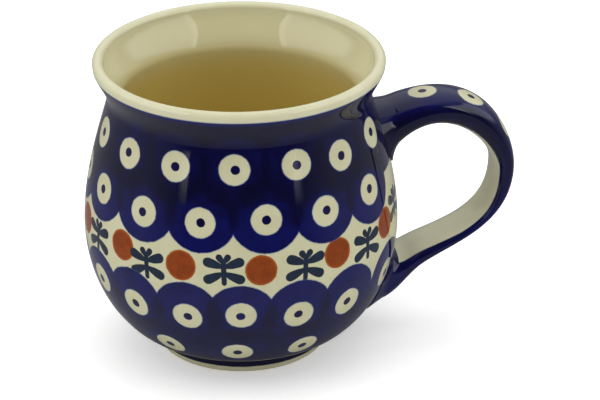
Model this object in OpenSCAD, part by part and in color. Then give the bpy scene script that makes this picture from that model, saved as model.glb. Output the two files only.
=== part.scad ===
// Stoneware bubble mug with a pulled strap handle.
// Origin: centre of the foot ring, on the surface the mug stands on. +Z up, handle along +X.
// The pot is a clay body with glaze coats laid on it, a clay strap with its own coat, and a
// fillet of slip around each end of the strap. Neighbouring pieces meet face to face.

/* [Cup] */
// Height of the mug over the lip
mug_h = 89; // [84:0.5:96]
// Outside radius at the lip
rim_r = 41.9; // [40.5:0.1:43]
// Outside radius at the neck, the narrowest place below the lip
neck_r = 37.9; // [37:0.1:39]
// Height of the neck
neck_z = 77; // [75:0.5:79]
// Outside radius at the belly, the widest place
belly_r = 45.2; // [44:0.1:46.5]
// Height of the belly
belly_z = 39; // [36:0.5:42]
// Thickness of the wall
wall_t = 4.2; // [3.5:0.1:5]
// Radius of the rounded lip
lip_r = 1.6; // [1.4:0.05:2.3]
// Height of the inside of the floor at its centre
floor_z = 8; // [7:0.5:10]

/* [Foot ring] */
// Outside radius of the foot ring where it meets the bowl
foot_r = 24.3; // [22:0.1:26]
// Height of the foot ring
foot_h = 4.7; // [3.5:0.1:5.5]
// Width of the foot ring at its base
foot_w = 4.2; // [3.5:0.1:6]
// How much narrower in radius the ring is at its base
foot_taper = 0.7; // [0:0.1:1]
// Depth of the recess inside the foot ring
recess_z = 3; // [2:0.1:3.5]
// Height of the bare clay at the bottom of the ring
bare_h = 0.6; // [0.4:0.1:1.3]

/* [Glaze] */
// Thickness of every glaze coat
glaze_t = 0.4; // [0.3:0.05:0.6]
// How far the lining glaze laps down the outside of the lip
band_h = 3; // [2:0.5:5]

/* [Handle] */
// Reach of the strap's outer face from the axis of the mug
strap_reach = 80.5; // [78:0.1:84]
// Thickness of the strap at its far side
strap_t = 6; // [5:0.1:8]
// Height of the strap's farthest point
strap_mid_z = 49.5; // [47:0.5:51]
// Width of the strap at its far side
strap_w = 15.6; // [13:0.1:18]
// Width of the strap at the upper joint
upper_w = 19; // [17:0.1:21]
// Width of the strap at the lower joint
lower_w = 20.5; // [18:0.1:22]
// How squarely the section is rounded: 2 is an ellipse, more is squarer
section_n = 2.6; // [2:0.1:4]

/* [Joints] */
// How far the slip fillet spreads on the wall around the strap
fillet_spread = 2; // [1:0.1:3]

/* [Hidden] */
$fn = 120;

bowl_steps = 12;      // points up the bowl, foot to belly
curve_steps = 8;      // points on each other curve of the profile
bowl_round = 1.68;    // exponent of the bowl's curve, below 2 for a flatter cone near the foot
belly_pull = 17;      // how long the profile stays upright above the belly
neck_pull = 3;        // how long it stays upright at the neck
strap_rings = [13, 9, 4]; // spaces between rings down the strap's three stretches
section_steps = 28;   // points around the strap's section
flare_steps = 4;       // rings up a slip fillet
root_in = 4;          // how far the strap's solid runs on into the wall before it is trimmed
thin = 0.15;          // thickness of the slip where it dies out on the strap

// The strap's outer and inner faces as radius and height: at the wall, and at the knee above the lower joint
outer_top = [38, 68.4];
outer_knee = [51.6, 19.5];
outer_low = [35, 8.9];
inner_top = [43, 55.7];
inner_knee = [49.7, 24.9];
inner_low = [42.5, 25.5];

function bezier(a, b, c, d, n, first = 0) =
    [for (i = [first : n]) let (u = i / n, v = 1 - u) v*v*v*a + 3*v*v*u*b + 3*v*u*u*c + u*u*u*d];
function bez_at(p, u) =
    let (v = 1 - u) v*v*v*p[0] + 3*v*v*u*p[1] + 3*v*u*u*p[2] + u*u*u*p[3];
function reverse(path) = [for (i = [len(path) - 1 : -1 : 0]) path[i]];
function slice(path, first, last) = [for (i = [first : last]) path[i]];

// Each point of a path moved to its left, into the clay
function inset(path, d) = [
    for (i = [0 : len(path) - 1])
        let (t = path[min(i + 1, len(path) - 1)] - path[max(i - 1, 0)])
            path[i] + d * [-t[1], t[0]] / norm(t)
];

// A quarter curve from the foot of a bowl out to its widest place
function bowl(r0, z0, r1, z1, first = 0) = [
    for (i = [first : bowl_steps])
        let (a = 90 * i / bowl_steps)
            [r0 + (r1 - r0) * pow(sin(a), 2 / bowl_round), z1 - (z1 - z0) * cos(a)]
];

// The glazed surface, from the crease at the foot up the outside, over the lip and down to the floor
lip_z = mug_h - lip_r;
inner_r = rim_r - 2 * lip_r;
outside = concat(
    bowl(foot_r, foot_h, belly_r, belly_z),
    bezier(
        [belly_r, belly_z], [belly_r, belly_z + belly_pull],
        [neck_r, neck_z - neck_pull], [neck_r, neck_z], curve_steps + 4, 1
    ),
    bezier(
        [neck_r, neck_z], [neck_r, neck_z + neck_pull],
        [rim_r - 1.1, mug_h - band_h - 2.4], [rim_r - 0.2, mug_h - band_h], curve_steps, 1
    )
);
lip = [
    for (i = [0 : curve_steps])
        let (a = 180 * i / curve_steps) [rim_r - lip_r + lip_r * cos(a), lip_z + lip_r * sin(a)]
];
inside = concat(
    bezier(
        [inner_r, lip_z], [inner_r - 0.6, lip_z - 3],
        [neck_r - wall_t, neck_z + neck_pull], [neck_r - wall_t, neck_z], curve_steps, 1
    ),
    bezier(
        [neck_r - wall_t, neck_z], [neck_r - wall_t, neck_z - neck_pull],
        [belly_r - wall_t, belly_z + belly_pull], [belly_r - wall_t, belly_z], curve_steps, 1
    ),
    reverse(slice(bowl(0, floor_z, belly_r - wall_t, belly_z), 0, bowl_steps - 1))
);
glazed = concat(outside, lip, inside);
clay = inset(glazed, glaze_t);
band_at = len(outside) - 1;
last_at = len(glazed) - 1;
floor_clay = [0, floor_z - glaze_t];

foot_base_r = foot_r - foot_taper;
ring_in_r = foot_base_r - foot_w;
foot_bare_r = foot_base_r + foot_taper * bare_h / foot_h;

// The strap's faces, three curves each: upper joint to far side, far side to knee, knee to lower joint
far_outer = [strap_reach, strap_mid_z];
far_inner = [strap_reach - strap_t, strap_mid_z - 1.5];
outer_face = [
    [outer_top, outer_top + [35, 14.2], far_outer + [0, 8.3], far_outer],
    [far_outer, far_outer - [0, 19.2], outer_knee + [8.7, 6.3], outer_knee],
    [outer_knee, outer_knee - [5.7, 4.1], outer_low + [8.5, 0], outer_low],
];
inner_face = [
    [inner_top, inner_top + [11.8, 18.5], far_inner + [0, 9.4], far_inner],
    [far_inner, far_inner - [0, 18.7], inner_knee + [9, 4], inner_knee],
    [inner_knee, inner_knee - [2.7, 1.2], inner_low + [2.5, -1.5], inner_low],
];

// s runs from 0 at the upper joint to 3 at the lower joint, one unit a stretch
strap_s = [for (part = [0 : 2], i = [0 : strap_rings[part] - 1]) part + i / strap_rings[part]];
upper_free = 1 / strap_rings[0];
lower_free = 3 - 1 / strap_rings[2];
function face_at(face, s) = let (part = min(floor(s), 2)) bez_at(face[part], s - part);
function width_at(s) =
    s < 1 ? strap_w + (upper_w - strap_w) * pow(1 - s, 2) : strap_w + (lower_w - strap_w) * pow((s - 1) / 2, 2);
function rounded(c) = sign(c) * pow(abs(c), 2 / section_n);

// One ring of the strap, grown by g on every side and moved along X
function ring(s, g = 0, shift = 0) =
    let (
        o = face_at(outer_face, s),
        i = face_at(inner_face, s),
        mid = (o + i) / 2,
        half = (o - i) / 2,
        reach = half * (1 + g / norm(half)),
        w = width_at(s) / 2 + g
    ) [
        for (k = [0 : section_steps - 1])
            let (a = 360 * k / section_steps, across = rounded(cos(a)) * w, out = rounded(sin(a)))
                [mid[0] + out * reach[0] + shift, across, mid[1] + out * reach[1]]
    ];

// The triangles between neighbouring rings of m points, and those that fill a ring or an annulus
function skin(m, last) = [
    for (j = [0 : last - 1], k = [0 : m - 1])
        each [
            [j * m + k, (j + 1) * m + (k + 1) % m, j * m + (k + 1) % m],
            [j * m + k, (j + 1) * m + k, (j + 1) * m + (k + 1) % m],
        ]
];
function flipped(faces) = [for (f = faces) reverse(f)];
function moved(faces, n) = [for (f = faces) [for (i = f) i + n]];
function disc(m, first) = [[for (k = [0 : m - 1]) first + k]];
function annulus(m, a, b) = [
    for (k = [0 : m - 1])
        each [[a + k, a + (k + 1) % m, b + (k + 1) % m], [a + k, b + (k + 1) % m, b + k]]
];

// A solid through a stack of rings
module sweep(rings) {
    m = len(rings[0]);
    last = len(rings) - 1;
    points = [for (r = rings) each r];
    polyhedron(points, concat(skin(m, last), disc(m, 0), flipped(disc(m, last * m))));
}

// An open-ended coat between two stacks of rings
module coat(outer, inner) {
    m = len(outer[0]);
    last = len(outer) - 1;
    n = m * len(outer);
    points = [for (r = concat(outer, inner)) each r];
    polyhedron(points, concat(
        skin(m, last),
        flipped(moved(skin(m, last), n)),
        annulus(m, 0, n),
        flipped(annulus(m, last * m, n + last * m))
    ));
}

// The strap grown by g on every side, and its ends run on by more
module strap(g, more = 0) {
    sweep(concat(
        [ring(0, g, -root_in - more)],
        [for (s = strap_s) ring(s, g)],
        [ring(3, g), ring(3, g, -root_in - more)]
    ));
}

// A fillet of slip: widest on the wall at s = from, dying out at the strap's ring at s = to
module flare(from, to) {
    rings = concat(
        [ring(from, fillet_spread, -root_in)],
        [
            for (i = [0 : flare_steps])
                let (u = i / flare_steps)
                    ring(from + u * (to - from), thin + (fillet_spread - thin) * pow(1 - u, 2))
        ]
    );
    sweep(to > from ? rings : reverse(rings));
}

module turned(path) {
    rotate_extrude() polygon(path);
}

// The clay pot filled solid, used to trim whatever lands on its wall
module clay_fill() {
    turned(concat([[0, foot_h]], slice(clay, 0, band_at), [[0, mug_h - band_h]]));
}

module cup_body() {
    color("tan") turned(concat(
        [
            [0, recess_z + glaze_t],
            [ring_in_r + glaze_t, recess_z + glaze_t],
            [ring_in_r + glaze_t, bare_h],
            [ring_in_r + 2 * glaze_t, 0],
            [foot_bare_r - 3 * glaze_t, 0],
            [foot_bare_r - glaze_t, bare_h],
        ],
        slice(clay, 0, last_at - 1),
        [floor_clay]
    ));
}

module lining_glaze() {
    color("ivory") turned(concat(
        slice(glazed, band_at, last_at),
        [floor_clay],
        reverse(slice(clay, band_at, last_at - 1))
    ));
}

module outer_glaze() {
    color("midnightblue") difference() {
        turned(concat(slice(glazed, 0, band_at), reverse(slice(clay, 0, band_at))));
        flare(0, upper_free);
        flare(3, lower_free);
    }
}

module foot_glaze() {
    color("navy") turned([[foot_bare_r, bare_h], glazed[0], clay[0], [foot_bare_r - glaze_t, bare_h]]);
}

module recess_glaze() {
    color("ivory") turned([
        [0, recess_z],
        [ring_in_r, recess_z],
        [ring_in_r, bare_h],
        [ring_in_r + glaze_t, bare_h],
        [ring_in_r + glaze_t, recess_z + glaze_t],
        [0, recess_z + glaze_t],
    ]);
}

module handle_strap() {
    color("tan") difference() {
        strap(-glaze_t);
        clay_fill();
    }
}

module handle_glaze() {
    free = slice(strap_s, 1, len(strap_s) - 1);
    color("midnightblue") coat([for (s = free) ring(s, 0)], [for (s = free) ring(s, -glaze_t)]);
}

module upper_joint_slip() {
    color("darkslateblue") difference() {
        flare(0, upper_free);
        strap(-glaze_t, 1);
        clay_fill();
    }
}

module lower_joint_slip() {
    color("darkslateblue") difference() {
        flare(3, lower_free);
        strap(-glaze_t, 1);
        clay_fill();
    }
}

cup_body();
lining_glaze();
outer_glaze();
foot_glaze();
recess_glaze();
handle_strap();
handle_glaze();
upper_joint_slip();
lower_joint_slip();
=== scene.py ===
import bpy, bmesh, math, random
from mathutils import Matrix, Vector


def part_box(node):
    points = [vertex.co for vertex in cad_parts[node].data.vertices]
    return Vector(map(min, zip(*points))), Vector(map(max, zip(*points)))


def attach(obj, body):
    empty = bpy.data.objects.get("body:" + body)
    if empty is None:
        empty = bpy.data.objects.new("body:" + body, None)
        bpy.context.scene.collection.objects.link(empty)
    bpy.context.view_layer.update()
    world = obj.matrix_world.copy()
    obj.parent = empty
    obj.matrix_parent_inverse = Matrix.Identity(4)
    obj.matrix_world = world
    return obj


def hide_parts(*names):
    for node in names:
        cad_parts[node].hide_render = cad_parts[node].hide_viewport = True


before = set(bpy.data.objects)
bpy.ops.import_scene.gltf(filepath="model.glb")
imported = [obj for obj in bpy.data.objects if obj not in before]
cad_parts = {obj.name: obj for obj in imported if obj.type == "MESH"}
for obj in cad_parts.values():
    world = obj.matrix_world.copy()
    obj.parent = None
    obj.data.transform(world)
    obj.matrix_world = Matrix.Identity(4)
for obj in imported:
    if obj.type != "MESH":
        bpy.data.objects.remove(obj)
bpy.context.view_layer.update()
mm = 0.001
turn = 2 * math.pi
print("frame loaded:", sorted(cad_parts))


def bezier(a, b, c, d, steps, first=0):
    points = []
    for i in range(first, steps + 1):
        u = i / steps
        v = 1 - u
        points.append(v**3 * a + 3 * v * v * u * b + 3 * v * u * u * c + u**3 * d)
    return points


def movedLeft(path, gap):
    # each point goes to the left of the way the path runs, which is into the clay
    out = []
    for i, p in enumerate(path):
        along = path[min(i + 1, len(path) - 1)] - path[max(i - 1, 0)]
        out.append(p + Vector((-along.y, along.x)).normalized() * gap)
    return out


def finished(bm, name, node):
    bmesh.ops.remove_doubles(bm, verts=bm.verts, dist=1e-6)
    bmesh.ops.recalc_face_normals(bm, faces=bm.faces)
    mesh = bpy.data.meshes.new(name)
    bm.to_mesh(mesh)
    bm.free()
    mesh.polygons.foreach_set("use_smooth", [True] * len(mesh.polygons))
    mesh.set_sharp_from_angle(angle=math.radians(40))
    obj = bpy.data.objects.new(name, mesh)
    bpy.context.scene.collection.objects.link(obj)
    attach(obj, "root")
    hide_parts(node)
    print("made", name, "with", len(mesh.polygons), "faces")
    return obj


def thrown(path, name, node, closed):
    # the outline turned once round the mug's axis, as on a wheel
    bm = bmesh.new()
    verts = [bm.verts.new((p.x, 0, p.y)) for p in path]
    pairs = list(zip(verts, verts[1:]))
    if closed:
        pairs.append((verts[-1], verts[0]))
    edges = [bm.edges.new(pair) for pair in pairs]
    bmesh.ops.spin(bm, geom=verts + edges, cent=(0, 0, 0), axis=(0, 0, 1), angle=turn,
                   steps=pot["turns"], use_merge=True)
    return finished(bm, name, node)


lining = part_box("lining_glaze")
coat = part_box("outer_glaze")
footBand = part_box("foot_glaze")
pot = {
    "height": lining[1].z, "rimR": -lining[0].x, "bellyR": -coat[0].x,
    "footR": -footBand[0].x, "footH": coat[0].z, "bandZ": coat[1].z, "bareH": footBand[0].z,
    "neckR": 37.9 * mm, "neckZ": 77 * mm, "bellyZ": 39 * mm, "floorZ": 8 * mm,
    "wall": 4.2 * mm, "lipR": 1.6 * mm, "glaze": 0.4 * mm,
    "bowlRound": 1.68, "bellyPull": 17 * mm, "neckPull": 3 * mm,
    "footTaper": 0.7 * mm, "footW": 4.2 * mm, "recessZ": 3 * mm,
    "turns": 216,
}


def at(r, z):
    return Vector((r, z))


def bowl(r0, z0, r1, z1, steps):
    points = []
    for i in range(steps + 1):
        a = turn / 4 * i / steps
        r = r0 + (r1 - r0) * math.sin(a) ** (2 / pot["bowlRound"])
        points.append(at(r, z1 - (z1 - z0) * math.cos(a)))
    return points


def outsideLine():
    p = pot
    line = bowl(p["footR"], p["footH"], p["bellyR"], p["bellyZ"], 60)
    line += bezier(at(p["bellyR"], p["bellyZ"]), at(p["bellyR"], p["bellyZ"] + p["bellyPull"]),
                   at(p["neckR"], p["neckZ"] - p["neckPull"]), at(p["neckR"], p["neckZ"]), 50, 1)
    line += bezier(at(p["neckR"], p["neckZ"]), at(p["neckR"], p["neckZ"] + p["neckPull"]),
                   at(p["rimR"] - 1.1 * mm, p["bandZ"] - 2.4 * mm),
                   at(p["rimR"] - 0.2 * mm, p["bandZ"]), 24, 1)
    return line


def insideLine():
    p = pot
    neckIn, bellyIn = p["neckR"] - p["wall"], p["bellyR"] - p["wall"]
    lipZ, rimIn = p["height"] - p["lipR"], p["rimR"] - 2 * p["lipR"]
    line = []
    for i in range(25):
        a = turn / 2 * i / 24
        line.append(at(p["rimR"] - p["lipR"] + p["lipR"] * math.cos(a), lipZ + p["lipR"] * math.sin(a)))
    line += bezier(at(rimIn, lipZ), at(rimIn - 0.6 * mm, lipZ - 3 * mm),
                   at(neckIn, p["neckZ"] + p["neckPull"]), at(neckIn, p["neckZ"]), 24, 1)
    line += bezier(at(neckIn, p["neckZ"]), at(neckIn, p["neckZ"] - p["neckPull"]),
                   at(bellyIn, p["bellyZ"] + p["bellyPull"]), at(bellyIn, p["bellyZ"]), 40, 1)
    return line + bowl(0, p["floorZ"], bellyIn, p["bellyZ"], 48)[-2::-1]


def potPieces():
    outside = outsideLine()
    glazed = outside + insideLine()
    clay = movedLeft(glazed, pot["glaze"])
    band = len(outside) - 1
    g, bareH, recessZ = pot["glaze"], pot["bareH"], pot["recessZ"]
    baseR = pot["footR"] - pot["footTaper"]
    bareR = baseR + pot["footTaper"] * bareH / pot["footH"]
    ringR = baseR - pot["footW"]
    floorClay = at(0, pot["floorZ"] - g)
    mid, half = (ringR + bareR) / 2, (bareR - ringR) / 2 - g
    toe = []
    for i in range(13):
        # the bare edge that the mug stands on, wiped round with a sponge
        a = turn / 2 * i / 12
        side = -math.cos(a)
        toe.append(at(mid + half * math.copysign(abs(side) ** 0.6, side), bareH * (1 - math.sin(a) ** 0.5)))
    made = {}
    made["clay"] = thrown([at(0, recessZ + g), at(ringR + g, recessZ + g)] + toe + clay[:-1] + [floorClay],
                          "clayPot", "cup_body", False)
    made["lining"] = thrown(glazed[band:] + [floorClay] + clay[band:-1][::-1],
                            "liningGlaze", "lining_glaze", False)
    made["outer"] = thrown(glazed[: band + 1] + clay[: band + 1][::-1],
                           "outerGlaze", "outer_glaze", True)
    made["foot"] = thrown([at(bareR, bareH), glazed[0], clay[0], at(bareR - g, bareH)],
                          "footGlaze", "foot_glaze", True)
    made["recess"] = thrown([at(0, recessZ), at(ringR, recessZ), at(ringR, bareH), at(ringR + g, bareH),
                             at(ringR + g, recessZ + g), at(0, recessZ + g)],
                            "recessGlaze", "recess_glaze", False)
    return made


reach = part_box("handle_glaze")[1].x
strap = {
    "reach": reach, "thick": 6 * mm, "farZ": 49.5 * mm,
    "width": 15.6 * mm, "upperWidth": 19 * mm, "lowerWidth": 20.5 * mm, "square": 2.6,
    "outerTop": at(38, 68.4) * mm, "outerKnee": at(51.6, 19.5) * mm, "outerLow": at(35, 8.9) * mm,
    "innerTop": at(43, 55.7) * mm, "innerKnee": at(49.7, 24.9) * mm, "innerLow": at(42.5, 25.5) * mm,
    "upperFree": 1 / 13, "lowerFree": 3 - 1 / 4,
    "rings": 200, "around": 72, "glaze": 0.4 * mm, "spread": 2 * mm,
}
farOuter = at(strap["reach"], strap["farZ"])
farInner = at(strap["reach"] - strap["thick"], strap["farZ"] - 1.5 * mm)
outerFace = [
    (strap["outerTop"], strap["outerTop"] + at(35, 14.2) * mm, farOuter + at(0, 8.3) * mm, farOuter),
    (farOuter, farOuter - at(0, 19.2) * mm, strap["outerKnee"] + at(8.7, 6.3) * mm, strap["outerKnee"]),
    (strap["outerKnee"], strap["outerKnee"] - at(5.7, 4.1) * mm, strap["outerLow"] + at(8.5, 0) * mm,
     strap["outerLow"]),
]
innerFace = [
    (strap["innerTop"], strap["innerTop"] + at(11.8, 18.5) * mm, farInner + at(0, 9.4) * mm, farInner),
    (farInner, farInner - at(0, 18.7) * mm, strap["innerKnee"] + at(9, 4) * mm, strap["innerKnee"]),
    (strap["innerKnee"], strap["innerKnee"] - at(2.7, 1.2) * mm, strap["innerLow"] + at(2.5, -1.5) * mm,
     strap["innerLow"]),
]


def faceAt(face, s):
    part = min(int(s), 2)
    u = s - part
    v = 1 - u
    a, b, c, d = face[part]
    return v**3 * a + 3 * v * v * u * b + 3 * v * u * u * c + u**3 * d


def widthAt(s):
    if s < 1:
        return strap["width"] + (strap["upperWidth"] - strap["width"]) * (1 - s) ** 2
    return strap["width"] + (strap["lowerWidth"] - strap["width"]) * ((s - 1) / 2) ** 2


def rounded(c):
    return math.copysign(abs(c) ** (2 / strap["square"]), c)


def strapPoint(s, v, grow=0.0, shift=0.0):
    # s runs from the upper joint to the lower one; v is 0 on the crown and -1 or 1 inside the loop
    o, i = faceAt(outerFace, s), faceAt(innerFace, s)
    half = (o - i) / 2
    reach = half * (1 + grow / half.length)
    p = (o + i) / 2 + reach * rounded(math.cos(math.pi * v))
    return Vector((p.x + shift, (widthAt(s) / 2 + grow) * rounded(math.sin(math.pi * v)), p.y))


crownSteps = 600


def lengthTable():
    table, last = [(0.0, 0.0)], faceAt(outerFace, 0)
    for k in range(1, crownSteps + 1):
        s = 3 * k / crownSteps
        p = faceAt(outerFace, s)
        table.append((s, table[-1][1] + (p - last).length))
        last = p
    return table


crown = lengthTable()


def crownLength(s):
    k = min(int(s / 3 * crownSteps), crownSteps - 1)
    (s0, l0), (s1, l1) = crown[k], crown[k + 1]
    return l0 + (l1 - l0) * (s - s0) / (s1 - s0)


def sAtLength(length):
    for (s0, l0), (s1, l1) in zip(crown, crown[1:]):
        if l1 >= length:
            return s0 + (s1 - s0) * (length - l0) / (l1 - l0)
    return 3.0


def pulled(name, node, rings, place, capped):
    # a grid wrapped round the strap: rings is a list of s, place(s, v, row) says where a point goes
    rows, around = len(rings) - 1, strap["around"]
    bm = bmesh.new()
    bmesh.ops.create_grid(bm, x_segments=rows, y_segments=around, size=1)
    along = bm.verts.layers.float.new("crownAlong")
    across = bm.verts.layers.float.new("crownAcross")
    girth = bm.verts.layers.float.new("girth")
    grid = {}
    for vert in bm.verts:
        i, j = round((vert.co.x + 1) / 2 * rows), round((vert.co.y + 1) / 2 * around)
        grid[i, j] = vert
    for (i, j), vert in grid.items():
        v = 2 * j / around - 1
        vert.co = place(rings[i], v, i)
        vert[along] = crownLength(rings[i])
        vert[girth] = abs(v)
    for i in range(rows + 1):
        for side in (1, -1):
            total = 0.0
            for k in range(1, around // 2 + 1):
                here, before = grid[i, around // 2 + side * k], grid[i, around // 2 + side * (k - 1)]
                total += (here.co - before.co).length
                here[across] = total * side
    bmesh.ops.remove_doubles(bm, verts=bm.verts, dist=1e-6)
    if capped:
        bmesh.ops.holes_fill(bm, edges=[e for e in bm.edges if e.is_boundary], sides=0)
    return finished(bm, name, node)


def handlePieces():
    # how far the coat runs on under each fillet, how deep the fillets' edges sink into it, and how far their
    # closed ends reach into the wall
    upperUnder, lowerUnder, edgeSink, wallReach = 4 * mm, 3 * mm, 0.08 * mm, 3 * mm
    first = crownLength(strap["upperFree"]) - upperUnder
    last = crownLength(strap["lowerFree"]) + lowerUnder
    rings = [sAtLength(first + (last - first) * i / strap["rings"]) for i in range(strap["rings"] + 1)]
    made = {}
    made["coat"] = pulled("handleGlaze", "handle_glaze", rings,
                          lambda s, v, i: strapPoint(s, v), False)
    skin = made["coat"].modifiers.new("coat", "SOLIDIFY")
    skin.thickness, skin.offset = strap["glaze"], -1
    steps = 24
    for key, node, start, end in (("upper", "upper_joint_slip", 0, strap["upperFree"]),
                                  ("lower", "lower_joint_slip", 3, strap["lowerFree"])):
        rings = [start] + [start + (end - start) * i / steps for i in range(steps + 1)]

        def place(s, v, i, start=start, end=end):
            u = (s - start) / (end - start)
            grow = strap["spread"] * (1 - u) ** 2 - edgeSink * u * u
            return strapPoint(s, v, grow, -wallReach if i == 0 else 0)

        made[key] = pulled(key + "JointSlip", node, rings, place, True)
    return made


class Wire:
    # a shader socket that can be written into sums
    def __init__(self, graph, socket):
        self.graph, self.socket = graph, socket

    def sum(self, operation, *others):
        return self.graph.node("ShaderNodeMath", {"operation": operation}, dict(enumerate((self,) + others)))

    def __add__(self, other):
        return self.sum("ADD", other)

    def __sub__(self, other):
        return self.sum("SUBTRACT", other)

    def __mul__(self, other):
        return self.sum("MULTIPLY", other)

    def __truediv__(self, other):
        return self.sum("DIVIDE", other)

    def __rsub__(self, other):
        return self.graph.node("ShaderNodeMath", {"operation": "SUBTRACT"}, {0: other, 1: self})

    __radd__ = __add__
    __rmul__ = __mul__

    def clip(self, low=0, high=1):
        return self.sum("MAXIMUM", low).sum("MINIMUM", high)

    def wrap(self, count):
        return self.sum("WRAP", count - 0.5, -0.5).sum("ROUND")

    def most(self, other):
        return self.sum("MAXIMUM", other)

    def least(self, other):
        return self.sum("MINIMUM", other)


class Graph:
    def __init__(self, tree):
        self.tree = tree

    def node(self, kind, settings, sockets, out=0):
        made = self.tree.nodes.new(kind)
        for key, value in settings.items():
            if key == "stops":
                ramp = made.color_ramp.elements
                while len(ramp) < len(value):
                    ramp.new(1)
                for element, (place, colour) in zip(ramp, value):
                    element.position, element.color = place, (*colour, 1)[:4]
            elif key == "held":
                made.color_ramp.interpolation = "CONSTANT"
            else:
                setattr(made, key, value)
        for key, value in sockets.items():
            if isinstance(value, Wire):
                self.tree.links.new(value.socket, made.inputs[key])
            else:
                made.inputs[key].default_value = value
        return Wire(self, made.outputs[out])

    def split(self, vector):
        outputs = self.node("ShaderNodeSeparateXYZ", {}, {0: vector}).socket.node.outputs
        return [Wire(self, outputs[k]) for k in range(3)]


class Finish(Graph):
    def __init__(self, name):
        self.material = bpy.data.materials.new(name)
        self.material.use_nodes = True
        Graph.__init__(self, self.material.node_tree)
        self.shader = self.tree.nodes["Principled BSDF"]
        self.coords = None

    def place(self):
        # the point on the piece, in metres
        if self.coords is None:
            self.coords = self.node("ShaderNodeTexCoord", {}, {}, "Object")
        return self.coords

    def axes(self):
        return self.split(self.place())

    def noise(self, size, detail=2.0, rough=0.5, seed=0.0):
        # size is about the width of one blotch, in metres
        return self.node("ShaderNodeTexNoise", {"noise_dimensions": "4D"}, {
            "Vector": self.place(), "W": seed, "Scale": 1 / size,
            "Detail": detail, "Roughness": rough}, "Fac")

    def attribute(self, name):
        return self.node("ShaderNodeAttribute", {"attribute_name": name}, {}, "Fac")

    def blend(self, amount, below, above):
        return self.node("ShaderNodeMix", {"data_type": "RGBA"}, {0: amount, 6: self.colour(below),
                                                                  7: self.colour(above)}, 2)

    def colour(self, value):
        return value if isinstance(value, Wire) else (*value, 1)

    def grey(self, value):
        return self.node("ShaderNodeCombineXYZ", {}, {0: value, 1: value, 2: value})

    def bump(self, height, strength, distance):
        return self.node("ShaderNodeBump", {},
                         {"Strength": strength, "Distance": distance, "Height": height})

    def finish(self, **sockets):
        names = {"colour": "Base Color", "rough": "Roughness", "normal": "Normal", "ior": "IOR",
                 "glow": "Emission Color", "glowStrength": "Emission Strength"}
        for key, value in sockets.items():
            socket = self.shader.inputs[names[key]]
            if isinstance(value, Wire):
                self.tree.links.new(value.socket, socket)
            else:
                socket.default_value = self.colour(value) if key == "colour" else value
        return self.material


# glaze and clay colours, and the painted shade of the inner wall, linear
paint = {
    "cream": (0.53, 0.515, 0.325),
    "creamPale": (0.60, 0.585, 0.40),
    "liningCream": (0.60, 0.585, 0.39),
    "liningPale": (0.67, 0.655, 0.465),
    # the wall colour is painted shade and yellow bounced light for the inside of the mug
    "wall": (0.54, 0.50, 0.285),
    # painted shade: the darker golden of the inner wall below the neck
    "honeyShade": (0.65, 0.50, 0.105),
    "cobalt": (0.0044, 0.0040, 0.035),
    "cobaltThin": (0.0058, 0.0070, 0.080),
    "cobaltDeep": (0.0040, 0.0036, 0.019),
    "bleed": (0.04, 0.085, 0.27),
    "rust": (0.265, 0.050, 0.003),
    "rustDeep": (0.19, 0.032, 0.002),
    "rustPale": (0.34, 0.082, 0.008),
    "leaf": (0.011, 0.024, 0.050),
    "leafDeep": (0.008, 0.015, 0.032),
    "clay": (0.50, 0.36, 0.20),
    "clayPale": (0.62, 0.49, 0.31),
    "speck": (0.40, 0.33, 0.19),
    "clayGrain": (0.26, 0.16, 0.08),
}


def creamColour(f, seed=0.0, kind="cream"):
    # cream glaze over pale clay: soft clouding, and the fine specks of the clay below
    cloud = f.noise(9 * mm, 3, 0.55, seed)
    low, high = ("liningCream", "liningPale") if kind == "lining" else ("cream", "creamPale")
    base = f.blend(((cloud - 0.35) * 2).clip(), paint[low], paint[high])
    speck = f.noise(0.45 * mm, 1, 0.5, seed + 3)
    return f.blend(((speck - 0.62) * 3).clip() * 0.35, base, paint["speck"])


def cobaltColour(f, depth, seed=0.0):
    # depth is 0 where the cobalt is thin and bright, and 1 where prints overlap and it goes near black
    pool = f.noise(5 * mm, 3, 0.6, seed + 1)
    mottle = f.noise(0.9 * mm, 2, 0.6, seed + 2)
    tone = (depth + (pool - 0.5) * 0.9 + (mottle - 0.5) * 0.35).clip()
    stops = [(0, paint["cobaltThin"]), (0.5, paint["cobalt"]), (1, paint["cobaltDeep"])]
    return f.node("ShaderNodeValToRGB", {"stops": stops}, {0: tone})


def edge(distance, radius, soft=0.14 * mm):
    # 1 inside the radius and 0 outside, with a soft rim
    return ((radius - distance) / soft + 0.5).clip()


def rimOf(distance, radius, width):
    return (1 - ((distance - radius).sum("ABSOLUTE") / width)).clip()


def stampTable(row):
    # the stamps on the show side are set one by one; the rest fill the round evenly, give or take a little
    placed, count = row["placed"], row["count"]
    rng = random.Random(row["seed"])
    last, first = placed[-1][0], placed[0][0] + 360
    height = sum(z for _, z in placed) / len(placed)
    table = []
    for k in range(count):
        if k < len(placed):
            angle, z = placed[k]
        else:
            share = (k + 1 - len(placed)) / (count + 1 - len(placed))
            angle = last + (first - last) * share + rng.uniform(-1.2, 1.2)
            z = height + rng.uniform(-0.4, 0.4)
        table.append((angle, z * mm, abs((angle + 180) % 360 - 180) > row["bare"]))
    return table


stampScale = 0.1  # a length in metres over this fits in one part of a colour
meanR = 40 * mm  # turns a small shift along the wall into an angle
farOff = 0.1  # added to the distance from a stamp that is left out


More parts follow.
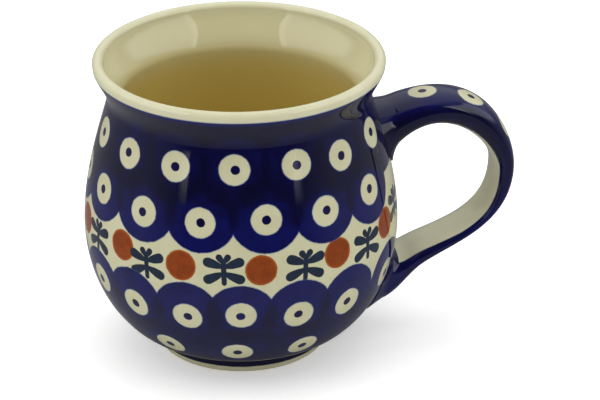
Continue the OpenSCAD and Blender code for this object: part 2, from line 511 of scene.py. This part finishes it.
class Row:
    # a row of stamps round the mug, one to a cell; each stamp has its own shift inside its cell
    def __init__(self, f, angle, radius, height, row):
        self.f, self.radius, self.height, self.count = f, radius, height, row["count"]
        table = stampTable(row)
        self.pitch = turn / self.count
        first = sum(math.radians(a) - k * self.pitch for k, (a, z, on) in enumerate(table)) / self.count
        share = (angle - first) / self.pitch + 0.5
        self.index = share.sum("FLOOR").wrap(self.count)
        self.local = (share - share.sum("FLOOR") - 0.5) * self.pitch
        self.stops = []
        for k, (a, z, on) in enumerate(table):
            shift = (math.radians(a) - first - k * self.pitch) / self.pitch
            held = (shift + 0.5, z / stampScale, outsideR(z) / stampScale, 1.0 if on else 0.0)
            self.stops.append((k / self.count, held))
        self.here = self.look(self.index)
        dice = f.node("ShaderNodeTexWhiteNoise", {"noise_dimensions": "1D"},
                      {"W": self.index + row["seed"]}, "Color")
        self.dice = [part - 0.5 for part in f.split(dice)]

    def look(self, index):
        ramp = self.f.node("ShaderNodeValToRGB", {"held": True, "stops": self.stops},
                           {0: (index + 0.5) / self.count})
        shift, z, r = self.f.split(ramp)
        on = Wire(self.f, ramp.socket.node.outputs["Alpha"])
        return (shift - 0.5) * self.pitch, z * stampScale, r * stampScale, on

    def away(self, angle, z, r):
        x = self.radius * angle.sum("COSINE") - r
        y = self.radius * angle.sum("SINE")
        z = self.height - z
        return (x * x + y * y + z * z).sum("SQRT")

    def stamp(self, offset=0.0):
        # distance from the stamp's middle; offset moves the middle a little, differently on each
        shift, z, r, on = self.here
        if offset:
            shift = shift + self.dice[0] * (2 * offset / meanR)
            z = z + self.dice[1] * (2 * offset)
        return self.away(self.local - shift, z, r) + (1 - on) * farOff

    def discs(self, z, bare):
        # distances from the middles of the two nearest of the larger discs printed under the stamps
        side = self.local.sum("SIGN")
        out = []
        for step, found in ((0, self.here), (side, self.look((self.index + side).wrap(self.count)))):
            shift, _, _, on = found
            away = self.away(self.local - shift - step * self.pitch, z, outsideR(z))
            out.append(away + (1 - on) * farOff if bare else away)
        return out


def wobbleOf(f, size, amount, seed):
    return (f.noise(size, 2, 0.5, seed) - 0.5) * (2 * amount)


# the stamped decoration: each row's stamps by angle round the mug from the handle and height in mm, and how
# many degrees either side of the handle are left bare
decor = {
    "upperEyes": {"count": 15, "bare": 22, "seed": 3, "placed": [
        (-178, 70), (-153.5, 70), (-129, 70.5), (-104, 71), (-78, 71), (-56, 70), (-31.5, 70.5)]},
    "lowerEyes": {"count": 15, "bare": 31, "seed": 11, "placed": [
        (-166, 56.5), (-141, 56), (-117, 56), (-92, 57), (-68, 56.5), (-43.5, 57)]},
    "bowlEyes": {"count": 16, "bare": 29, "seed": 23, "placed": [
        (-166.5, 28.5), (-145.5, 26.5), (-122.5, 26.5), (-102, 28), (-80, 26.5), (-58, 26), (-32, 27.5)]},
    "footEyes": {"count": 12, "bare": 50, "seed": 31, "placed": [(-135.5, 13), (-104, 13), (-74, 13)]},
    "berries": {"count": 12, "bare": 0, "seed": 47, "placed": [
        (-179, 43.5), (-150, 44), (-124, 43), (-94.5, 42.5), (-64.5, 43.5), (-35.5, 44.5)]},
    "sprigs": {"count": 12, "bare": 0, "seed": 59, "placed": [
        (-166, 42), (-138, 41), (-108, 42.5), (-78, 42), (-49, 42), (-23, 46.5)]},
    "eyeR": 4.45 * mm, "pupilR": 1.32 * mm, "berryR": 4.6 * mm,
    "upperDiscR": 10.6 * mm, "upperDiscZ": 57.8 * mm, "lowerDiscR": 10.1 * mm, "lowerDiscZ": 27.9 * mm,
    "topDiscR": 10.2 * mm, "topDiscZ": 70.4 * mm, "footDiscR": 10.4 * mm, "footDiscZ": 13.3 * mm,
    "eyeEdge": 0.32 * mm, "pupilShift": 0.3 * mm, "discEdge": 2 * mm,
    # the cobalt is thicker towards the neck and towards the foot, and thin next to the lip
    "neckFrom": 53 * mm, "neckRun": 12 * mm, "bowlFrom": 30 * mm, "bowlRun": 9 * mm,
    "lipBelow": 2 * mm, "lipRun": 1.2 * mm, "lipEdge": 0.45 * mm,
}

# half of a sprig of leaves, in mm: where each leaf starts and ends beside the stem, and its radius at both
sprigLeaves = [
    ((0.5, 1.2), (4.5, 2.5), 0.6, 1.45),
    ((0.5, -0.9), (4.5, -2.7), 0.6, 1.45),
    ((0.2, 2.6), (1.25, 4.0), 0.6, 0.95),
    ((0, -3.8), (0, 2.8), 0.72, 0.8),
]
sprigLean = 0.16


def outsideR(z):
    line = outsideLine()
    for a, b in zip(line, line[1:]):
        if a.y <= z <= b.y:
            return a.x + (b.x - a.x) * (z - a.y) / (b.y - a.y)
    return pot["bellyR"]


def club(x, z, start, end, thin, thick):
    # a leaf printed as a club: a line from start to end whose width grows quickly from thin to thick
    startX, startZ = (v * mm for v in start)
    dx, dz = end[0] * mm - startX, end[1] * mm - startZ
    thin, thick = thin * mm, thick * mm
    t = (((x - startX) * dx + (z - startZ) * dz) / (dx * dx + dz * dz)).clip()
    ax, az = x - startX - t * dx, z - startZ - t * dz
    slim = 1 - t
    return (ax * ax + az * az).sum("SQRT") - ((1 - slim * slim) * (thick - thin) + thin)


def sprigDistance(row, wobble):
    shift, zMiddle, r, _ = row.here
    x = (row.local - shift) * r
    z = row.height - zMiddle
    lean = row.dice[2] * sprigLean
    x, z = x + z * lean, z - x * lean
    side = x.sum("ABSOLUTE")
    near = farOff
    for leaf in sprigLeaves:
        near = club(side, z, *leaf).least(near)
    return near + wobble


glazeFilm = {"waveSize": 7 * mm, "waves": 0.6, "peelSize": 0.9 * mm, "peel": 0.05, "bump": 0.5,
             "depth": 0.12 * mm, "smooth": 0.02, "roughSpread": 0.05, "ior": 1.5}


def glossy(f, colour):
    # the same glaze film over every piece: slow waves from the dipping, and a fine orange peel
    g = glazeFilm
    film = f.noise(g["waveSize"], 2, 0.5, 41) * g["waves"] + f.noise(g["peelSize"], 2, 0.6, 42) * g["peel"]
    rough = f.noise(5 * mm, 2, 0.5, 43) * g["roughSpread"] + g["smooth"]
    return f.finish(colour=colour, rough=rough, normal=f.bump(film, g["bump"], g["depth"]), ior=g["ior"])


def outerFinish():
    f = Finish("stamped glaze")
    d = decor
    x, y, z = f.axes()
    angle = y.sum("ARCTAN2", x)
    radius = (x * x + y * y).sum("SQRT")
    ragged = wobbleOf(f, 1.3 * mm, 0.2 * mm, 11) + wobbleOf(f, 0.45 * mm, 0.09 * mm, 12)
    rows = {name: Row(f, angle, radius, z, d[name]) for name in
            ("upperEyes", "lowerEyes", "bowlEyes", "footEyes", "berries", "sprigs")}

    # cobalt: solid above and below, edged by the discs of the two middle rows
    upperZ, lowerZ = d["upperDiscZ"], d["lowerDiscZ"]
    upperR, lowerR = d["upperDiscR"], d["lowerDiscR"]
    upperDiscs = rows["lowerEyes"].discs(upperZ, True)
    lowerDiscs = rows["bowlEyes"].discs(lowerZ, False)
    gap = (upperDiscs[0].least(upperDiscs[1]) - upperR).least(lowerDiscs[0].least(lowerDiscs[1]) - lowerR)
    gap = gap.least(upperZ - z).least(z - lowerZ) + ragged
    blue = edge(gap, 0)

    # one print of cobalt is bright, two or none are dark
    cover = 0
    for discs, size in ((upperDiscs, upperR), (lowerDiscs, lowerR),
                        (rows["upperEyes"].discs(d["topDiscZ"], False), d["topDiscR"]),
                        (rows["footEyes"].discs(d["footDiscZ"], False), d["footDiscR"])):
        for disc in discs:
            cover = edge(disc + ragged, size, d["discEdge"]) + cover
    thick = ((z - d["neckFrom"]) / d["neckRun"]).clip() * 0.4
    thick = thick + ((d["bowlFrom"] - z) / d["bowlRun"]).clip() * 0.3
    lip = ((z - (pot["bandZ"] - d["lipBelow"])) / d["lipRun"]).clip() * 0.8
    cobalt = cobaltColour(f, (cover - 1).sum("ABSOLUTE").least(1) * 0.42 + 0.08 + thick - lip)

    eyes, pupils, rims = 0, 0, 0
    for name in ("upperEyes", "lowerEyes", "bowlEyes", "footEyes"):
        away = rows[name].stamp() + ragged
        middle = rows[name].stamp(d["pupilShift"]) + ragged * 0.7
        eyes = edge(away, d["eyeR"]) + eyes
        pupils = edge(middle, d["pupilR"]) + pupils
        rims = rimOf(away, d["eyeR"], d["eyeEdge"]) + rims
    berryAway = rows["berries"].stamp() + ragged
    berry = edge(berryAway, d["berryR"])
    sprig = edge(sprigDistance(rows["sprigs"], ragged * 0.6), 0)

    cream = creamColour(f)
    rustTone = f.noise(2.2 * mm, 3, 0.6, 21)
    rust = f.blend(((rustTone - 0.35) * 2.4).clip(), paint["rustDeep"], paint["rust"])
    rust = f.blend(berry - edge(berryAway, d["berryR"] - 0.45 * mm, 0.5 * mm), rust, paint["rustPale"])
    leafTone = f.noise(1.4 * mm, 3, 0.6, 23)
    leaf = f.blend(((leafTone - 0.35) * 2.2).clip(), paint["leafDeep"], paint["leaf"])

    colour = f.blend(berry, cream, rust)
    colour = f.blend(sprig, colour, leaf)
    colour = f.blend(blue, colour, cobalt)
    colour = f.blend(eyes, colour, cream)
    lipEdge = rimOf(z, pot["bandZ"], d["lipEdge"])
    colour = f.blend((rims + lipEdge + rimOf(gap, 0, d["eyeEdge"])).clip() * 0.5, colour, paint["bleed"])
    colour = f.blend(pupils, colour, cobaltColour(f, f.noise(2 * mm, 1, 0.5, 5) - 0.1))

    return glossy(f, colour)


# where the inner wall starts, and how the painted shade deepens down it
liningShade = {"mouthEdge": 0.8 * mm, "neckDrop": 1.5 * mm, "top": 80 * mm, "quick": 10 * mm,
             "low": 70 * mm, "slow": 40 * mm}


def liningFinish():
    f = Finish("cream glaze")
    x, y, z = f.axes()
    cream = creamColour(f, 70, "lining")
    # painted shade and yellow bounced light: the inner wall turns darker and golden just below the neck, and
    # slowly more so towards the floor
    out = (x * x + y * y).sum("SQRT")
    inside = ((pot["rimR"] - 2 * pot["lipR"] - out) / liningShade["mouthEdge"] + 0.5).clip()
    inside = inside.most(((pot["bandZ"] - liningShade["neckDrop"] - z) / (0.5 * mm)).clip())
    # painted shade: the inner wall is drawn darker and yellower than the lip
    colour = f.blend(inside * 0.85, cream, paint["wall"])
    paintedShade = ((liningShade["top"] - z) / liningShade["quick"]).clip() * 0.65
    paintedShade = paintedShade + ((liningShade["low"] - z) / liningShade["slow"]).clip() * 0.35
    colour = f.blend(paintedShade * inside, colour, paint["honeyShade"])
    colour = f.blend(rimOf(z, pot["bandZ"], 0.4 * mm) * (1 - inside) * 0.45, colour, paint["bleed"])
    return glossy(f, colour)


footCoat = {"creamTo": 1.9 * mm, "bareTo": 0.85 * mm, "ior": 1.52}


def footFinish():
    f = Finish("foot glaze")
    x, y, z = f.axes()
    line = wobbleOf(f, 3 * mm, 0.15 * mm, 81) + footCoat["creamTo"]
    blue = ((z - line) / (0.2 * mm) + 0.5).clip()
    colour = f.blend(blue, creamColour(f, 80), cobaltColour(f, f.noise(4 * mm, 1, 0.5, 82) + 0.2))
    colour = f.blend(((footCoat["bareTo"] - z) / (0.25 * mm)).clip() * 0.6, colour, paint["clayPale"])
    rough = f.noise(3 * mm, 2, 0.5, 83) * 0.06 + 0.06
    normal = f.bump(f.noise(2 * mm, 3, 0.6, 84), 0.4, 0.08 * mm)
    return f.finish(colour=colour, rough=rough, normal=normal, ior=footCoat["ior"])


def clayFinish():
    f = Finish("bare clay")
    grain = f.noise(0.35 * mm, 4, 0.7, 91)
    cloud = f.noise(5 * mm, 3, 0.6, 92)
    colour = f.blend(((cloud - 0.3) * 2).clip(), paint["clay"], paint["clayPale"])
    colour = f.blend(((grain - 0.6) * 4).clip() * 0.5, colour, paint["clayGrain"])
    rough = grain * 0.2 + 0.7
    return f.finish(colour=colour, rough=rough, normal=f.bump(grain + cloud * 0.5, 0.6, 0.1 * mm), ior=1.45)


# stamps down the crown of the handle, by how far along it from the upper joint and how far off its middle
crownDecor = {
    "firstEye": 16.4 * mm, "eyeGap": 14.4 * mm, "off": (0.3, -2.0, -1.8, -0.6, 0.5, -0.4, 0.2),
    "eyeR": 4.2 * mm, "pupilR": 1.25 * mm, "eyeEdge": 0.32 * mm, "eyesTo": 0.6,
    "creamFrom": 0.715, "creamStart": 25 * mm, "creamRun": 8 * mm, "collar": 3.2 * mm,
    # the four entries below place the painted shade on the strap's side faces, by girth and by length from
    # the upper joint
    "undersideShadeFrom": 0.3, "undersideShadeRun": 0.12, "undersideShadeTo": 40 * mm, "undersideShadeFade": 25 * mm,
}


def handleCobaltAndShade(f):
    # painted shade: the cobalt is drawn darker on the side faces near the upper joint, where the strap's
    # underside lies in shadow
    along, girth = f.attribute("crownAlong"), f.attribute("girth")
    d = crownDecor
    side = ((girth - d["undersideShadeFrom"]) / d["undersideShadeRun"]).clip() * (1 - (along - d["undersideShadeTo"]) / d["undersideShadeFade"]).clip()
    return cobaltColour(f, f.noise(10 * mm, 1, 0.5, 105) * 0.6 + side * 0.5)


def handleFinish():
    f = Finish("handle glaze")
    d = crownDecor
    along, across, girth = f.attribute("crownAlong"), f.attribute("crownAcross"), f.attribute("girth")
    ragged = wobbleOf(f, 1.3 * mm, 0.2 * mm, 101) + wobbleOf(f, 0.45 * mm, 0.09 * mm, 102)
    eyes = len(d["off"])
    index = ((along - d["firstEye"]) / d["eyeGap"] + 0.5).sum("FLOOR").clip(0, eyes - 1)
    stops = [(k / eyes, (v / 10 + 0.5,) * 3) for k, v in enumerate(d["off"])]
    off = f.node("ShaderNodeValToRGB", {"held": True, "stops": stops}, {0: (index + 0.5) / eyes})
    gap = along - index * d["eyeGap"] - d["firstEye"]
    side = across - (f.split(off)[0] - 0.5) * (10 * mm)
    # no stamps on the inner face
    away = (gap * gap + side * side).sum("SQRT") + ragged + ((girth - d["eyesTo"]) / 0.05).clip() * 0.05
    eye, pupil = edge(away, d["eyeR"]), edge(away, d["pupilR"])
    rim = rimOf(away, d["eyeR"], d["eyeEdge"])
    line = girth + wobbleOf(f, 6 * mm, 0.016, 103) + wobbleOf(f, 1 * mm, 0.005, 104) - d["creamFrom"]
    # the strap's underside is left blue at the upper joint, and so is a collar at the lower one
    underside = (1 - (along - d["creamStart"]) / d["creamRun"]).clip() * 0.3
    collarStart = crownLength(strap["lowerFree"]) - d["collar"]
    collar = ((along + ragged - collarStart) / (0.5 * mm)).clip() * 0.4
    line = line - underside - collar
    inside = (line / 0.012 + 0.5).clip()
    bleed = (1 - line.sum("ABSOLUTE") / 0.022).clip()
    colour = f.blend(inside, handleCobaltAndShade(f), creamColour(f, 110, "lining"))
    colour = f.blend(eye, colour, creamColour(f, 120))
    colour = f.blend((rim + bleed * 0.9).clip() * 0.5, colour, paint["bleed"])
    colour = f.blend(pupil, colour, cobaltColour(f, f.noise(2 * mm, 1, 0.5, 106) - 0.1))
    return glossy(f, colour)


def slipFinish():
    f = Finish("slip fillet glaze")
    # the fillets take the strap's cobalt with its painted shade
    return glossy(f, handleCobaltAndShade(f))


def dress(obj, material):
    obj.data.materials.clear()
    obj.data.materials.append(material)


cup = potPieces()
handle = handlePieces()
clay = clayFinish()
cream = liningFinish()
slip = slipFinish()
dress(cup["clay"], clay)
dress(cup["lining"], cream)
dress(cup["recess"], cream)
dress(cup["outer"], outerFinish())
dress(cup["foot"], footFinish())
dress(handle["coat"], handleFinish())
dress(handle["upper"], slip)
dress(handle["lower"], slip)
dress(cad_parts["handle_strap"], clay)
print("finishes on")

camera = {"azimuth": -11.53, "elevation": 24.648, "distance": 1.3845, "lookZ": 45 * mm,
          "pan": 0.777, "tilt": -0.055, "roll": -0.46, "lens": 288}


def makeCamera():
    a, e = math.radians(camera["azimuth"]), math.radians(camera["elevation"])
    back = Vector((math.sin(a) * math.cos(e), -math.cos(a) * math.cos(e), math.sin(e)))
    heading = a - math.radians(camera["pan"])
    dip = e - math.radians(camera["tilt"])
    look = Vector((-math.sin(heading) * math.cos(dip), math.cos(heading) * math.cos(dip), -math.sin(dip)))
    side = Vector((math.cos(heading), math.sin(heading), 0))
    up = side.cross(look)
    roll = math.radians(camera["roll"])
    right = side * math.cos(roll) + up * math.sin(roll)
    top = up * math.cos(roll) - side * math.sin(roll)
    data = bpy.data.cameras.new("camera")
    data.lens, data.sensor_width = camera["lens"], 36
    data.clip_start, data.clip_end = 0.01, 50
    obj = bpy.data.objects.new("camera", data)
    axes = Matrix((right, top, -look)).transposed()
    place = back * camera["distance"] + Vector((0, 0, camera["lookZ"]))
    obj.matrix_world = Matrix.Translation(place) @ axes.to_4x4()
    bpy.context.scene.collection.objects.link(obj)
    bpy.context.scene.camera = obj


def softbox(name, toward, distance, size, power):
    data = bpy.data.lights.new(name, "AREA")
    data.shape, data.size, data.energy = "SQUARE", size, power
    obj = bpy.data.objects.new(name, data)
    way = Vector(toward).normalized()
    obj.location = way * distance + Vector((0, 0, camera["lookZ"]))
    obj.rotation_mode = "QUATERNION"
    obj.rotation_quaternion = (-way).to_track_quat("-Z", "Y")
    obj.visible_glossy = False
    bpy.context.scene.collection.objects.link(obj)


def direction(azimuth, elevation):
    # azimuth is counted from the camera, to its right
    a, e = math.radians(camera["azimuth"] + azimuth), math.radians(elevation)
    return (math.sin(a) * math.cos(e), -math.cos(a) * math.cos(e), math.sin(e))


# a round of white paper under the mug, soft lamps that the glaze doesn't mirror, and a tent of white cloth
# that it does, open towards the camera; angles are in degrees from the camera
studio = {
    "paperR": 0.25, "paperShade": 0.32, "paperGlow": 0.33, "fill": 0.78, "backdrop": 1.1,
    "tentOpen": 41, "tentLow": 0.25, "tentSide": 1.6, "tentBack": 0.58, "tentTop": 0.35, "backFrom": 112,
    "stripWidth": 8, "strip": 1.1, "roofFrom": 60,
    # heights on the tent, as the sine of the elevation
    "stripTop": 0.75, "wallLow": 0.13, "wallTop": 0.82, "lowBelow": -0.2, "roof": 0.8,
    # name, azimuth, elevation, distance, size and power of each lamp
    "lamps": (("overhead", 170, 80, 1.2, 1.1, 4.5), ("left", -75, 35, 1.3, 1.0, 4),
              ("right", 75, 35, 1.3, 1.0, 3)),
}


def paperFinish():
    # to the camera the paper glows a little, and mirrored in the glaze it is greyer than it looks
    f = Finish("studio paper")
    fleck = f.noise(0.02, 2, 0.5, 200)
    x, y, z = f.axes()
    out = (x * x + y * y).sum("SQRT")
    shade = (1 - ((out - 0.05) / 0.1).clip() * 0.42) * studio["paperShade"]
    mirrored = f.node("ShaderNodeLightPath", {}, {}, "Is Glossy Ray")
    white = f.blend(fleck, (0.88, 0.88, 0.88), (0.92, 0.92, 0.92))
    glow = f.node("ShaderNodeLightPath", {}, {}, "Is Camera Ray") * studio["paperGlow"]
    return f.finish(colour=f.blend(mirrored, white, f.grey(shade)), rough=fleck * 0.1 + 0.8,
                    glow=f.grey(glow), glowStrength=1)


def makeWorld():
    world = bpy.data.worlds.new("studio")
    bpy.context.scene.world = world
    world.use_nodes = True
    g = Graph(world.node_tree)
    x, y, z = g.split(g.node("ShaderNodeTexCoord", {}, {}, "Generated"))
    a = math.radians(camera["azimuth"])
    toward = x * math.sin(a) - y * math.cos(a)
    aside = x * math.cos(a) + y * math.sin(a)
    around = aside.sum("ABSOLUTE").sum("ARCTAN2", toward) * (180 / math.pi)
    wall = (around - studio["tentOpen"]).clip()
    strip = wall * ((studio["tentOpen"] + studio["stripWidth"] - around) / 4).clip() * (z / 0.1).clip()
    strip = strip * ((studio["stripTop"] - z) / 0.2).clip()
    high = ((z - studio["wallLow"]) / 0.17).clip()
    behind = ((around - studio["backFrom"]) / 15).clip()
    side = wall * (1 - behind) * high * ((studio["wallTop"] - z) / 0.06).clip() * studio["tentSide"]
    low = ((around - studio["tentOpen"]) / 35).clip().most(((studio["lowBelow"] - z) / 0.08).clip())
    low = low * studio["tentLow"]
    top = ((around - studio["roofFrom"]) / 10).clip() * ((z - studio["roof"]) / 0.08).clip()
    top = top * studio["tentTop"]
    tent = low.most(side).most(behind * high * studio["tentBack"]).most(top) + strip * studio["strip"]
    seen = g.node("ShaderNodeLightPath", {}, {}, "Is Camera Ray")
    mirrored = g.node("ShaderNodeLightPath", {}, {}, "Is Glossy Ray")
    glow = seen * studio["backdrop"] + (1 - seen) * (mirrored * tent + (1 - mirrored) * studio["fill"])
    background = world.node_tree.nodes["Background"]
    background.inputs["Color"].default_value = (1, 1, 1, 1)
    world.node_tree.links.new(glow.socket, background.inputs["Strength"])


def makeStudio():
    bm = bmesh.new()
    bmesh.ops.create_circle(bm, cap_ends=True, segments=96, radius=studio["paperR"])
    mesh = bpy.data.meshes.new("studioFloor")
    bm.to_mesh(mesh)
    bm.free()
    floor = bpy.data.objects.new("studioFloor", mesh)
    bpy.context.scene.collection.objects.link(floor)
    dress(floor, paperFinish())
    for name, azimuth, elevation, distance, size, power in studio["lamps"]:
        softbox(name, direction(azimuth, elevation), distance, size, power)
    makeWorld()
    bpy.context.scene.view_settings.view_transform = "Standard"


makeCamera()
makeStudio()
print("studio ready")
